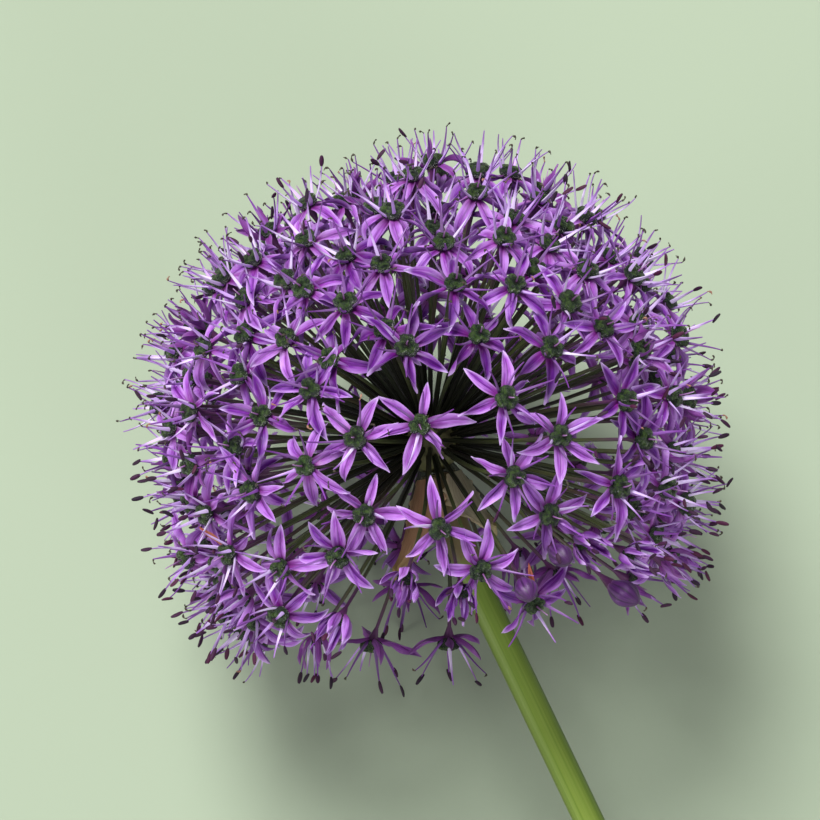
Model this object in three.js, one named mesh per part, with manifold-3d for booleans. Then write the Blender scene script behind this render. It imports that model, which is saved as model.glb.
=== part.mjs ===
// Flower head of an ornamental allium on a cut length of its stalk, lying on its side.
// Millimetres, +Z up. The origin is the middle of the base of the bounding box. +Y runs from the
// stalk to the crown of the head and +X to its right, as seen from above.
import * as THREE from 'three';
import { mergeVertices } from 'three/addons/utils/BufferGeometryUtils.js';
import Module from 'manifold-3d';

const wasm = await Module();
wasm.setup();

const DEGREE = Math.PI / 180;
const SIXTH_TURN = Math.PI / 3;
const GOLDEN_ANGLE = Math.PI * (3 - Math.sqrt(5));
const SEED = 3;

// The head: a ball of florets round a small receptacle, open round the stalk.
const HEAD_CENTRE = new THREE.Vector3(-3.06, 30.17, 43.1);
const HEAD_RADIUS = 39.8;
const HEAD_RADIUS_SPREAD = 1.8;
const RECEPTACLE_RADIUS = 4.8;
const GAP = 0.35;
const FLORETS_GROWN = 178;
const FLORETS_BUILT = 98;
const RIM_POLAR = 127 * DEGREE;
const FACING_SPREAD = 0.16;
const CANDIDATE_PLACES = 1600;

// The side that faces the eye leans from straight up towards the stalk.
const FRONT_LEAN = 20 * DEGREE;
const FRONT_ZONE = 41 * DEGREE;
const FRONT_LOOKS_LARGER = 1.05;
const RIGHT = new THREE.Vector3(1, 0, 0);
const UPWARD = new THREE.Vector3(0, Math.cos(FRONT_LEAN), Math.sin(FRONT_LEAN));
const FRONT = new THREE.Vector3(0, -Math.sin(FRONT_LEAN), Math.cos(FRONT_LEAN));

// Florets on the front, in millimetres right of and above the middle of the head as seen from the
// front, with how far each is open.
const OPEN = 1;
const HALF_OPEN = 0.35;
const BUD = 0;
const FRONT_FLORETS = [
  [-1.7, 2.6, OPEN], [10.5, 6.3, OPEN], [12.6, -5.3, OPEN], [1.1, -12.6, OPEN],
  [-10.1, -11.1, OPEN], [-11.3, 0.5, OPEN], [-3.5, 13.4, OPEN], [7.2, 16.2, OPEN],
  [17.6, 13.8, OPEN], [18.6, 0.8, OPEN], [18.2, -11.3, OPEN], [7.2, -18.9, OPEN],
  [-3.9, -20.6, HALF_OPEN], [-13.7, -16.7, OPEN], [-18.2, -3.5, OPEN], [-18.3, 8, OPEN],
  [-14.9, 12.2, OPEN], [-6.6, 16.1, OPEN], [-12.3, 19.7, OPEN], [-7.5, 26.9, OPEN],
  [2, 30.5, OPEN], [3.5, 23.3, OPEN], [12.2, 22.7, OPEN], [15.9, 26.3, OPEN],
  [10.5, 29.3, OPEN], [23.6, 25.7, OPEN], [25.7, 17, OPEN], [28.1, 6, OPEN],
  [26.9, -6.5, OPEN], [-25.4, 3.8, OPEN], [-27, -7.5, OPEN], [-29.7, 10.4, OPEN],
  [-21.2, 15, OPEN], [-18.2, 22.2, OPEN], [-25.8, 26.3, OPEN], [-18.8, 30.3, OPEN],
  [-28.5, 21.8, OPEN], [-23.3, -19.7, OPEN], [-29.4, -16.4, OPEN], [-13.5, -26.1, HALF_OPEN],
  [4.7, -23, HALF_OPEN], [15.3, -24.2, OPEN], [22.7, -15.2, HALF_OPEN], [28.7, -16.4, OPEN],
  [27.8, -22.2, BUD], [13.8, -21.2, BUD], [18.6, -16.4, BUD], [-22.4, -26, OPEN],
];
const YOUNG_POLAR = 114 * DEGREE;
const YOUNG_SHARE = 0.45;

// One floret: three-sided pedicel, cup, six keeled tepals, six stamens and a three-lobed ovary.
// Lengths run from the floret's axis. Angles lean from that axis: at the base of a tepal, then at
// its tip. broadest is a share of the length.
const PEDICEL_RADIUS = 0.7;
const PEDICEL_ROOT_DEPTH = 1.9;
const CUP = { depth: 1.3, radius: 1.45, height: 0.1 };
const OVARY = { shoulderRadius: 1.7, shoulderHeight: 1, topRadius: 1.1, topHeight: 2.7 };
const TEPAL = { length: 8.3, width: 2.9, keel: 0.65, broadest: 0.46 };
const STAMEN = { length: 7.2, lean: 42 * DEGREE, closedLean: 8 * DEGREE };
const OPEN_TEPAL_ANGLES = [72 * DEGREE, 94 * DEGREE];
const CLOSED_TEPAL_ANGLES = [24 * DEGREE, 4 * DEGREE];
const BUD_SHAPE = { length: 6.2, radius: 2.1, broadest: 0.42 };
const TEPAL_LIFT_SPREAD = 0.2;
const TEPAL_TWIST = 0.3;
const STAMEN_LEAN_SPREAD = 0.2;

// The stalk: it leaves the receptacle below the crown, bends a little, then runs straight down to
// where the rim of its cut end touches the surface. Its heading is measured from -Y towards +X.
const STALK = { radius: 2.25, flare: 0.2, length: 120, sides: 14, bentSteps: 7, straightSteps: 4 };
const STALK_BEND = [3.4, -13.5, -0.4];
const STALK_STRAIGHT_FROM = [8, -24, -1];
const STALK_HEADING = 27.1 * DEGREE;

// Two papery bracts, what is left of the sheath that held the buds. They stand round the top of the
// stalk, by the angle from the right towards the eye, and spread from it.
const BRACT = { thickness: 0.65, stations: 9, columns: 6, startsBelow: 5.4, broadest: 0.45 };
const BRACT_ENDS = { baseShare: 0.42, tipShare: 0.1 };
const BRACTS = [
  { name: 'spathe_bract_left', length: 12.5, width: 8, stands: 138 * DEGREE, spread: 0.28, cupped: 0.2 },
  { name: 'spathe_bract_right', length: 10, width: 7.6, stands: 34 * DEGREE, spread: 0.2, cupped: 0.15 },
];

const LILAC = new THREE.MeshStandardMaterial({ color: 0x9a55b8, roughness: 0.55, metalness: 0 });
const STALK_GREEN = new THREE.MeshStandardMaterial({ color: 0x6f8a3c, roughness: 0.5, metalness: 0 });
const PAPER_TAN = new THREE.MeshStandardMaterial({ color: 0xa9855c, roughness: 0.8, metalness: 0 });

function draw(low, high, index, stream) {
  const wave = Math.sin(index * 12.9898 + stream * 78.233 + SEED) * 43758.5453;
  return low + (high - low) * (wave - Math.floor(wave));
}

function mix(from, to, share) {
  return from + (to - from) * share;
}

// A direction or offset given as the eye sees it: right, up and towards the eye.
function seen(across, up, near) {
  return new THREE.Vector3()
    .addScaledVector(RIGHT, across)
    .addScaledVector(UPWARD, up)
    .addScaledVector(FRONT, near);
}

const CROWN_AXIS = seen(-0.17, 0.972, -0.156).normalize();

function geometryOf(points, faces) {
  const geometry = new THREE.BufferGeometry();
  const numbers = points.flatMap((p) => p.toArray());
  geometry.setAttribute('position', new THREE.Float32BufferAttribute(numbers, 3));
  geometry.setIndex(faces.flat());
  return geometry;
}

function solidOf(geometry) {
  const bare = geometry.clone();
  bare.deleteAttribute('normal');
  bare.deleteAttribute('uv');
  const merged = mergeVertices(bare);
  return new wasm.Manifold(new wasm.Mesh({
    numProp: 3,
    vertProperties: merged.attributes.position.array,
    triVerts: new Uint32Array(merged.index.array),
  }));
}

function geometryOfSolid(solid) {
  const mesh = solid.getMesh();
  const geometry = new THREE.BufferGeometry();
  geometry.setAttribute('position', new THREE.BufferAttribute(mesh.vertProperties, 3));
  geometry.setIndex(new THREE.BufferAttribute(mesh.triVerts, 1));
  return geometry;
}

// Two directions square to the given one, turned round it by the angle.
function crossDirections(along, turn) {
  const helper = Math.abs(along.z) < 0.9 ? new THREE.Vector3(0, 0, 1) : new THREE.Vector3(0, 1, 0);
  const side = new THREE.Vector3().crossVectors(helper, along).normalize().applyAxisAngle(along, turn);
  return [side, new THREE.Vector3().crossVectors(along, side)];
}

// Each new place is the candidate that is furthest from all the places chosen before it.
function spreadOut(chosen, candidates, count) {
  const closeness = candidates.map((c) => Math.max(...chosen.map((place) => place.dot(c))));
  while (chosen.length < count) {
    const next = candidates[closeness.indexOf(Math.min(...closeness))];
    chosen.push(next);
    candidates.forEach((c, i) => {
      closeness[i] = Math.max(closeness[i], next.dot(c));
    });
  }
  return chosen;
}

function frontDirection([across, up]) {
  const x = across / FRONT_LOOKS_LARGER;
  const y = up / FRONT_LOOKS_LARGER;
  return seen(x, y, Math.sqrt(HEAD_RADIUS ** 2 - x ** 2 - y ** 2)).normalize();
}

// Every floret of the head, then the ones that are built: an even draw from all of them.
function growFlorets() {
  const [side, other] = crossDirections(CROWN_AXIS, 0);
  const candidates = [];
  for (let i = 0; i < CANDIDATE_PLACES; i++) {
    const height = mix(1, Math.cos(RIM_POLAR), (i + 0.5) / CANDIDATE_PLACES);
    const reach = Math.sqrt(1 - height ** 2);
    const turn = i * GOLDEN_ANGLE;
    const place = new THREE.Vector3()
      .addScaledVector(CROWN_AXIS, height)
      .addScaledVector(side, reach * Math.cos(turn))
      .addScaledVector(other, reach * Math.sin(turn));
    if (place.angleTo(FRONT) > FRONT_ZONE) candidates.push(place);
  }
  const directions = spreadOut(FRONT_FLORETS.map(frontDirection), candidates, FLORETS_GROWN);
  const florets = directions.map((direction, index) => {
    const young = direction.angleTo(CROWN_AXIS) > YOUNG_POLAR && draw(0, 1, index, 1) < YOUNG_SHARE;
    const listed = FRONT_FLORETS[index];
    return { index, direction, openness: listed ? listed[2] : young ? HALF_OPEN : OPEN };
  });
  const built = spreadOut([directions[0]], directions, FLORETS_BUILT);
  return built.map((direction) => florets[directions.indexOf(direction)]);
}

// The frame of one floret: where it stands, the way it faces and two directions square to that.
function frameOf({ index, direction }, place) {
  const nod = new THREE.Vector3(
    draw(-FACING_SPREAD, FACING_SPREAD, index, 2),
    draw(-FACING_SPREAD, FACING_SPREAD, index, 3),
    draw(-FACING_SPREAD, FACING_SPREAD, index, 4),
  );
  const facing = direction.clone().add(nod).normalize();
  const [side, other] = crossDirections(facing, draw(0, Math.PI, index, 5));
  const outward = (angle) => new THREE.Vector3()
    .addScaledVector(side, Math.cos(angle))
    .addScaledVector(other, Math.sin(angle));
  const around = (radius, angle, height) => place.clone()
    .addScaledVector(outward(angle), radius)
    .addScaledVector(facing, height);
  return { facing, side, outward, around };
}

// A ring of points round the floret's axis, the first one at the given angle.
function ring(around, count, radius, height, first) {
  const step = (2 * Math.PI) / count;
  return Array.from({ length: count }, (_, i) => around(radius, first + i * step, height));
}

// The mid-section and the tip of one tepal: left edge, keel, right edge, tip.
function tepalPoints({ facing, outward, around }, floret, k) {
  const { index, openness } = floret;
  const angle = k * SIXTH_TURN;
  const stream = 10 + k * 4;
  const [near, far] = [0, 1].map((i) => mix(CLOSED_TEPAL_ANGLES[i], OPEN_TEPAL_ANGLES[i], openness)
    + openness * draw(-TEPAL_LIFT_SPREAD, TEPAL_LIFT_SPREAD, index, stream + i));
  const along = (lean) => outward(angle).multiplyScalar(Math.sin(lean))
    .addScaledVector(facing, Math.cos(lean));
  const twist = draw(-TEPAL_TWIST, TEPAL_TWIST, index, stream + 2);
  const across = outward(angle + Math.PI / 2).applyAxisAngle(along(near), twist);
  const below = new THREE.Vector3().crossVectors(across, along(near));
  const middle = around(CUP.radius * Math.cos(SIXTH_TURN / 2), angle, CUP.height)
    .addScaledVector(along(near), TEPAL.length * TEPAL.broadest - CUP.radius);
  return [
    middle.clone().addScaledVector(across, -TEPAL.width / 2),
    middle.clone().addScaledVector(below, TEPAL.keel),
    middle.clone().addScaledVector(across, TEPAL.width / 2),
    middle.clone().addScaledVector(along(far), TEPAL.length * (1 - TEPAL.broadest)),
  ];
}

function stamenTip({ facing, outward, around }, { index, openness }, k) {
  const lean = mix(STAMEN.closedLean, STAMEN.lean, openness)
    + draw(-STAMEN_LEAN_SPREAD, STAMEN_LEAN_SPREAD, index, 40 + k);
  const angle = k * SIXTH_TURN;
  return around(CUP.radius, angle, CUP.height)
    .addScaledVector(outward(angle), STAMEN.length * Math.sin(lean))
    .addScaledVector(facing, STAMEN.length * Math.cos(lean));
}

// Three points of the pedicel's section, lined up with those of the neck of the floret.
function pedicelRing(centre, along, towards) {
  const side = towards.clone().addScaledVector(along, -towards.dot(along)).normalize();
  const other = new THREE.Vector3().crossVectors(along, side);
  return [0, 1, 2].map((i) => centre.clone()
    .addScaledVector(side, PEDICEL_RADIUS * Math.cos(2 * i * SIXTH_TURN))
    .addScaledVector(other, PEDICEL_RADIUS * Math.sin(2 * i * SIXTH_TURN)));
}

// One pedicel with its floret, as the points and triangles of one closed surface.
function floretSurface(floret, place) {
  const frame = frameOf(floret, place);
  const { around, side } = frame;
  const points = [];
  const faces = [];
  const put = (list) => list.map((p) => points.push(p) - 1);
  const raise = ([a, b, c], tip) => faces.push([a, b, tip], [b, c, tip], [c, a, tip]);
  const join = (low, high) => low.forEach((_, i) => {
    const j = (i + 1) % low.length;
    faces.push([low[i], low[j], high[j]], [low[i], high[j], high[i]]);
  });

  const along = place.clone().sub(HEAD_CENTRE).normalize();
  const rootCentre = HEAD_CENTRE.clone().addScaledVector(along, RECEPTACLE_RADIUS - PEDICEL_ROOT_DEPTH);
  const root = put(pedicelRing(rootCentre, along, side));
  const neck = put(ring(around, 3, PEDICEL_RADIUS, -CUP.depth, 0));
  const cup = put(ring(around, 6, CUP.radius, CUP.height, -SIXTH_TURN / 2));
  faces.push([root[0], root[2], root[1]]);
  join(root, neck);
  for (let i = 0; i < 3; i++) faces.push([neck[i], neck[(i + 1) % 3], cup[(2 * i + 2) % 6]]);
  const tepalBase = (k) => [cup[k], neck[Math.floor(k / 2)], cup[(k + 1) % 6]];

  if (floret.openness === BUD) {
    const broadestAt = BUD_SHAPE.length * BUD_SHAPE.broadest;
    const belly = put(ring(around, 6, BUD_SHAPE.radius, broadestAt, -SIXTH_TURN / 2));
    const [tip] = put([around(0, 0, BUD_SHAPE.length)]);
    cup.forEach((_, k) => faces.push(tepalBase(k), [belly[k], belly[(k + 1) % 6], tip]));
    join(cup, belly);
    return { points, faces };
  }

  const shoulder = put(ring(around, 6, OVARY.shoulderRadius, OVARY.shoulderHeight, 0));
  const top = put(ring(around, 3, OVARY.topRadius, OVARY.topHeight, SIXTH_TURN / 2));
  for (let k = 0; k < 6; k++) {
    const next = (k + 1) % 6;
    const [left, keel, right, tip] = put(tepalPoints(frame, floret, k));
    join(tepalBase(k), [left, keel, right]);
    raise([left, keel, right], tip);
    const [anther] = put([stamenTip(frame, floret, k)]);
    raise([cup[k], cup[next], shoulder[k]], anther);
    faces.push([shoulder[k], cup[next], shoulder[next]]);
    faces.push([shoulder[k], shoulder[next], top[Math.floor(k / 2)]]);
  }
  top.forEach((_, i) => faces.push([top[i], shoulder[(2 * i + 2) % 6], top[(i + 1) % 3]]));
  faces.push(top);
  return { points, faces };
}

// Places a floret at the end of its pedicel. One that would reach through the surface that the
// head lies on is pushed up until its lowest tip just touches it.
function floretSolid(floret) {
  const radius = HEAD_RADIUS + draw(-HEAD_RADIUS_SPREAD, HEAD_RADIUS_SPREAD, floret.index, 0);
  const place = HEAD_CENTRE.clone().addScaledVector(floret.direction, radius);
  const lowest = Math.min(...floretSurface(floret, place).points.map((p) => p.z));
  place.z += Math.max(0, -lowest);
  const { points, faces } = floretSurface(floret, place);
  return solidOf(geometryOf(points, faces));
}

function headGeometry() {
  const receptacle = new THREE.IcosahedronGeometry(RECEPTACLE_RADIUS, 1)
    .translate(HEAD_CENTRE.x, HEAD_CENTRE.y, HEAD_CENTRE.z);
  const head = growFlorets().reduce((whole, floret) => whole.add(floretSolid(floret)), solidOf(receptacle));
  return geometryOfSolid(head);
}

// Skins a row of closed rings and closes both ends.
function loft(rings) {
  const count = rings[0].length;
  const faces = [];
  for (let r = 0; r + 1 < rings.length; r++) {
    for (let i = 0; i < count; i++) {
      const a = r * count + i;
      const b = r * count + ((i + 1) % count);
      faces.push([a, b, b + count], [a, b + count, a + count]);
    }
  }
  const last = (rings.length - 1) * count;
  for (let i = 1; i + 1 < count; i++) faces.push([0, i + 1, i], [last, last + i, last + i + 1]);
  return geometryOf(rings.flat(), faces);
}

// Where the middle of the stalk runs: points and directions from the receptacle to the cut end.
function stalkStations() {
  const at = (place) => HEAD_CENTRE.clone().add(seen(...place));
  const bend = at(STALK_BEND);
  const straightFrom = at(STALK_STRAIGHT_FROM);
  const start = HEAD_CENTRE.clone()
    .addScaledVector(bend.clone().sub(HEAD_CENTRE).normalize(), RECEPTACLE_RADIUS + GAP);
  const bent = new THREE.QuadraticBezierCurve3(start, bend, straightFrom);
  const straight = STALK.length - bent.getLength();
  const slope = Math.asin(straightFrom.z / Math.hypot(straight, STALK.radius))
    - Math.atan2(STALK.radius, straight);
  const run = new THREE.Vector3(
    Math.sin(STALK_HEADING) * Math.cos(slope),
    -Math.cos(STALK_HEADING) * Math.cos(slope),
    -Math.sin(slope),
  );
  const stations = [];
  for (let i = 0; i < STALK.bentSteps; i++) {
    const share = i / STALK.bentSteps;
    const radius = STALK.radius * (1 + STALK.flare * (1 - share) ** 3);
    stations.push({ place: bent.getPointAt(share), along: bent.getTangentAt(share), radius });
  }
  for (let i = 0; i <= STALK.straightSteps; i++) {
    const place = straightFrom.clone().addScaledVector(run, (straight * i) / STALK.straightSteps);
    stations.push({ place, along: run, radius: STALK.radius });
  }
  return stations;
}

function stalkGeometry(stations) {
  const level = new THREE.Vector3(Math.cos(STALK_HEADING), Math.sin(STALK_HEADING), 0);
  return loft(stations.map(({ place, along, radius }) => {
    const under = new THREE.Vector3().crossVectors(level, along).normalize();
    const side = new THREE.Vector3().crossVectors(along, under);
    return Array.from({ length: STALK.sides }, (_, i) => {
      const angle = (i * 2 * Math.PI) / STALK.sides;
      return place.clone()
        .addScaledVector(under, radius * Math.cos(angle))
        .addScaledVector(side, radius * Math.sin(angle));
    });
  }));
}

// How broad a bract is at a share of its length, from its base to its tip.
function bractWidthShare(t) {
  const quarter = Math.PI / 2;
  if (t < BRACT.broadest) return mix(BRACT_ENDS.baseShare, 1, Math.sin((t / BRACT.broadest) * quarter));
  return mix(BRACT_ENDS.tipShare, 1, Math.cos(((t - BRACT.broadest) / (1 - BRACT.broadest)) * quarter));
}

// A thin blade that follows the stalk, then spreads from it, cupped towards it from side to side.
function bractGeometry(bract, stalkTop) {
  const down = stalkTop.along;
  const right = RIGHT.clone().addScaledVector(down, -RIGHT.dot(down)).normalize();
  const near = new THREE.Vector3().crossVectors(right, down).negate();
  const outward = right.clone().multiplyScalar(Math.cos(bract.stands))
    .addScaledVector(near, Math.sin(bract.stands));
  const across = new THREE.Vector3().crossVectors(down, outward);
  const clear = stalkTop.radius + GAP + BRACT.thickness;
  const rings = [];
  for (let i = 0; i < BRACT.stations; i++) {
    const t = i / (BRACT.stations - 1);
    const half = (bract.width / 2) * bractWidthShare(t);
    const middle = HEAD_CENTRE.clone()
      .addScaledVector(down, BRACT.startsBelow + bract.length * t)
      .addScaledVector(outward, clear + bract.length * bract.spread * (t + t * t));
    const column = (u, depth) => middle.clone()
      .addScaledVector(across, half * u)
      .addScaledVector(outward, -depth - bract.cupped * half * 2 * u * u);
    const steps = Array.from({ length: BRACT.columns }, (_, c) => -1 + (2 * c) / (BRACT.columns - 1));
    const top = steps.map((u) => column(u, 0));
    rings.push([...top, ...steps.reverse().map((u) => column(u, BRACT.thickness))]);
  }
  return loft(rings);
}

const group = new THREE.Group();

function addPiece(name, geometry, material) {
  const mesh = new THREE.Mesh(geometry, material);
  mesh.name = name;
  group.add(mesh);
}

const stations = stalkStations();
addPiece('umbel', headGeometry(), LILAC);
addPiece('scape', stalkGeometry(stations), STALK_GREEN);
for (const bract of BRACTS) addPiece(bract.name, bractGeometry(bract, stations[0]), PAPER_TAN);

export default group;
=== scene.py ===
import math
from types import SimpleNamespace as Form
import bpy
import numpy as np
from mathutils import Matrix


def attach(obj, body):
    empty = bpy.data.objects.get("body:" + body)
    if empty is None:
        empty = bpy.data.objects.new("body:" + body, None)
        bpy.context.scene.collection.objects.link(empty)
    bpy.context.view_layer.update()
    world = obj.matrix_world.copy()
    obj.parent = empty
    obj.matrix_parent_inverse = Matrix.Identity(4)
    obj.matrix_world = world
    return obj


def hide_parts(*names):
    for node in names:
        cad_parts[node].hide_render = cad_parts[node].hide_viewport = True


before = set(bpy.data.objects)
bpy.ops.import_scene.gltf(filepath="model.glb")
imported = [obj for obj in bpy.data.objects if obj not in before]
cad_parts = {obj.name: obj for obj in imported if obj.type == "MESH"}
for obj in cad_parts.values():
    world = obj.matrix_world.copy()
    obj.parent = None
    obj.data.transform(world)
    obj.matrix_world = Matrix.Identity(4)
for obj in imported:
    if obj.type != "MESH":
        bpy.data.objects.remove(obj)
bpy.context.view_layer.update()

MM = 0.001
DEGREE = math.pi / 180
TURN = 2 * math.pi
SIXTH_TURN = TURN / 6
GOLDEN_ANGLE = math.pi * (3 - math.sqrt(5))
SEED = 3

# The head: a ball of florets round a small receptacle, open round the stalk. The same rule and the
# same draws place the florets of the solid umbel, which has 98 of the first 178.
HEAD_CENTRE = np.array([-3.06, 30.17, 43.1]) * MM
HEAD_RADIUS = 39.8 * MM
HEAD_RADIUS_SPREAD = 1.8 * MM
# The outline is not quite round: the angle of each dent or bulge as seen from the front, and its
# share of the radius.
BULGES = [(202, -0.08), (190, -0.08), (127, -0.08), (115, -0.08), (95, -0.03), (6, -0.06), (352, -0.07),
          (337, -0.04), (240, -0.03), (62, 0.04), (77, 0.05)]
BULGE_SPREAD = 12 * DEGREE
RECEPTACLE_RADIUS = 4.8 * MM
RECEPTACLE = Form(stations=24, sides=36, bumps=0.04)
GAP = 0.35 * MM
CANDIDATE_PLACES = 1600
FACING_SPREAD = 0.16
# The florets after the outer ones stand back behind them, though not near the stalk. Some places on
# the back stay bare.
FLORETS_GROWN = 276
OUTER_FLORETS = 232
SET_BACK = [0.84, 0.94]
SET_BACK_TO_POLAR = 98 * DEGREE
BACK_SIDE = -0.12
BACK_SIDE_BARE = 0.26
# Angles from the axis of the crown: where the head ends, and where each band of tepals does.
RIM_POLAR = 127 * DEGREE
TEPAL_BANDS = {"near_crown": 68 * DEGREE, "round_middle": 96 * DEGREE, "near_stalk": 180 * DEGREE}
# A floret that stands lower than this is pushed up until it clears the surface.
LOW_FLORET = 14 * MM
SURFACE_CLEAR = 0.05 * MM

# The side that faces the eye leans from straight up towards the stalk.
FRONT_LEAN = 20 * DEGREE
FRONT_ZONE = 41 * DEGREE
FRONT_LOOKS_LARGER = 1.05
RIGHT = np.array([1.0, 0.0, 0.0])
UPWARD = np.array([0.0, math.cos(FRONT_LEAN), math.sin(FRONT_LEAN)])
FRONT = np.array([0.0, -math.sin(FRONT_LEAN), math.cos(FRONT_LEAN)])

# Florets on the front, in millimetres right of and above the middle of the head as seen from the
# front. They are open but for those given by their number, which counts from 0.
OPEN = 1
HALF_OPEN = 0.35
BUD = 0
FRONT_FLORETS = [
    (-1.7, 2.6), (10.5, 6.3), (12.6, -5.3), (1.1, -12.6), (-10.1, -11.1), (-11.3, 0.5), (-3.5, 13.4),
    (7.2, 16.2), (17.6, 13.8), (18.6, 0.8), (18.2, -11.3), (7.2, -18.9), (-3.9, -20.6), (-13.7, -16.7),
    (-18.2, -3.5), (-18.3, 8), (-14.9, 12.2), (-6.6, 16.1), (-12.3, 19.7), (-7.5, 26.9), (2, 30.5),
    (3.5, 23.3), (12.2, 22.7), (15.9, 26.3), (10.5, 29.3), (23.6, 25.7), (25.7, 17), (28.1, 6),
    (26.9, -6.5), (-25.4, 3.8), (-27, -7.5), (-29.7, 10.4), (-21.2, 15), (-18.2, 22.2), (-25.8, 26.3),
    (-18.8, 30.3), (-28.5, 21.8), (-23.3, -19.7), (-29.4, -16.4), (-13.5, -26.1), (4.7, -23),
    (15.3, -24.2), (22.7, -15.2), (28.7, -16.4), (27.8, -22.2), (13.8, -21.2), (18.6, -16.4),
    (-22.4, -26),
]
FRONT_HALF_OPEN = [12, 39, 40, 42, 43]
FRONT_BUDS = [44, 45, 46]
# Florets that hang from the back of the rim, in the same measures, with how far each is open.
HANGING_FLORETS = [(3, -31, OPEN), (-8.9, -31.2, OPEN), (-3.4, -24, OPEN), (-17.5, -30.6, HALF_OPEN),
                   (19.5, -20.5, OPEN), (14, -17.5, HALF_OPEN)]
HANGING_CLEAR = math.cos(9 * DEGREE)
# Which way the first tepal of the foremost florets points, in degrees from the right, as seen from
# the front.
FRONT_SPINS = [20, 21, 45, 45, 8, 12, 28, 45, 38, 25, 20, 2, 30, 20, 20, 42, 35]
# The ones on the front given the deep tone, a deeper purple that is painted shade.
SHADED_FRONT = [6, 7, 8, 16, 17, 18, 21]
# The pedicels part a little at these angles, in the same measure, and let the light through.
PARTINGS = [86, 78, 147, 208, 4]
PARTING_SPREAD = 4 * DEGREE
PARTING_BOW = 0.85 * MM

# A floret comes to the front between these cosines of its angle from the middle of the front, and is
# the younger the further it is from the crown, between these degrees from the axis.
IN_FRONT = [0.45, 0.85]
YOUTH_ANGLES = [62, 112]
FRONT_IS_OLDER = 0.85
# Chances that a floret is half open near the stalk or shrivelled, and that a tepal is withered.
HALF_OPEN_POLAR = 114 * DEGREE
HALF_OPEN_CHANCE = 0.45
SHRIVELLED_CHANCE = 0.13
WITHERED_CHANCE = 0.0006
# One tepal that the photo shows withered: its floret, and which of the six it is.
WITHERED = {41: 5}

# One floret at its true size. Shares are of a tepal's width at its ends, and of the size of those
# that differ.
PEDICEL = Form(radius=0.3 * MM, root_depth=1.9 * MM, cup_radius=1.0 * MM, cup_depth=1.5 * MM,
               bow=1.3 * MM, stations=12, sides=6)
TEPAL = Form(length=7.1 * MM, width=1.92 * MM, broadest=0.45, base_share=0.48, tip_share=0.05,
             fullness=0.85, inner_share=0.94, bell_share=0.84, shrivelled_share=0.82,
             hanging_width=0.78, withered_width=0.6, thickness=0.13 * MM, foot=0.7 * MM,
             crown_droop=24 * DEGREE, stations=14, columns=5)
FILAMENT = Form(length=6.5 * MM, hanging_share=1.2, foot=1.0 * MM, stations=9, sides=5)
ANTHER = Form(length=1.9 * MM, radius=0.36 * MM, stations=8, sides=6)
SPENT_ANTHER = Form(length=1.1 * MM, radius=0.16 * MM, curl=170 * DEGREE)
OVARY = Form(radius=1.75 * MM, height=2.2 * MM, stations=10, sides=18)
STYLE = Form(length=2.4 * MM, radius=0.13 * MM, stations=6, sides=5)
BUD_SHAPE = Form(length=5.4 * MM, radius=1.95 * MM, stations=24, sides=36)

# The stalk: it leaves the receptacle below the crown, bends a little, then runs straight down to
# where the rim of its cut end touches the surface.
STALK = Form(radius=2.25 * MM, flare=0.2, length=120 * MM, sides=40, samples=401, bent_steps=18,
             straight_steps=50)
STALK_BEND = np.array([3.4, -13.5, -0.4]) * MM
STALK_STRAIGHT_FROM = np.array([8, -24, -1]) * MM
STALK_HEADING = 27.1 * DEGREE
# Rings of the cut end, from its rim inward: a share of the rim's size, and in millimetres how far the
# ring stands out, which is below 0 where the pith is sunken.
CUT = [(0.97, 0.0), (0.9, -0.05), (0.82, -0.16), (0.6, -0.26), (0.35, -0.3), (0.12, -0.32)]

# Two papery bracts, what is left of the sheath that held the buds.
BRACT = Form(thickness=0.65 * MM, stations=40, columns=25, starts_below=5.4 * MM, broadest=0.45,
             base_share=0.42, tip_share=0.1, fullness=1.0)
BRACTS = [
    {"name": "spathe_bract_left", "length": 12.5 * MM, "width": 10 * MM, "stands": 143 * DEGREE,
     "spread": 0.34, "cupped": 0.2},
    {"name": "spathe_bract_right", "length": 10 * MM, "width": 8.8 * MM, "stands": 34 * DEGREE,
     "spread": 0.2, "cupped": 0.15},
]

# Each repeated form takes one of the 8 x 8 tiles of its colour sheet. The tepals of a floret have one
# tone, which is a row of tiles, and the underside of a tepal is in the upper half of them.
SHEET = "OFBake"
TILES = 8
HALF_THE_TILES = TILES * TILES // 2
TILE_MARGIN = 0.06
# The deep tone is a deeper purple: some florets take it at random, and on set-back florets and the listed
# front ones it is painted shade.
DEEP_AND_SHADE_TONE = 0
# The shrivelled tone is the dull purple of shrivelled florets, and painted shade on the hanging ones.
SHRIVELLED_AND_SHADE_TONE = 3
WITHERED_TILE = 31
# A floret that is less in front than this is near the rim and has no deep tone.
NEAR_RIM = 0.3

# The camera, with the middle of its picture beside the middle of the head. A lamp's own up only has
# to differ from the way that it hangs.
LENS = 200
SENSOR = 36
VIEW_WIDTH = 123 * MM
AIM_RIGHT = -3.0 * MM
AIM_UP = 4.5 * MM
LAMP_UP = np.array([0.01, 1.0, 0.02])


def draw(low, high, index, stream):
    """A number from low to high that is always the same for a floret's index and a stream, where
    each stream settles one thing about a floret."""
    wave = math.sin(index * 12.9898 + stream * 78.233 + SEED) * 43758.5453
    return low + (high - low) * (wave - math.floor(wave))


def mix(low, high, share):
    return low + (high - low) * share


def step_up(value, low, high):
    """0 below low, 1 above high and smooth between them."""
    share = np.clip((value - low) / (high - low), 0, 1)
    return share * share * (3 - 2 * share)


def unit(vector):
    return vector / np.linalg.norm(vector, axis=-1, keepdims=True)


def angles_round(sides):
    return np.arange(sides) * TURN / sides


def seen(across, up, near):
    """A direction or offset given as the eye sees it: right, up and towards the eye."""
    return RIGHT * across + UPWARD * up + FRONT * near


CROWN_AXIS = unit(seen(-0.17, 0.972, -0.156))


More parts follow.
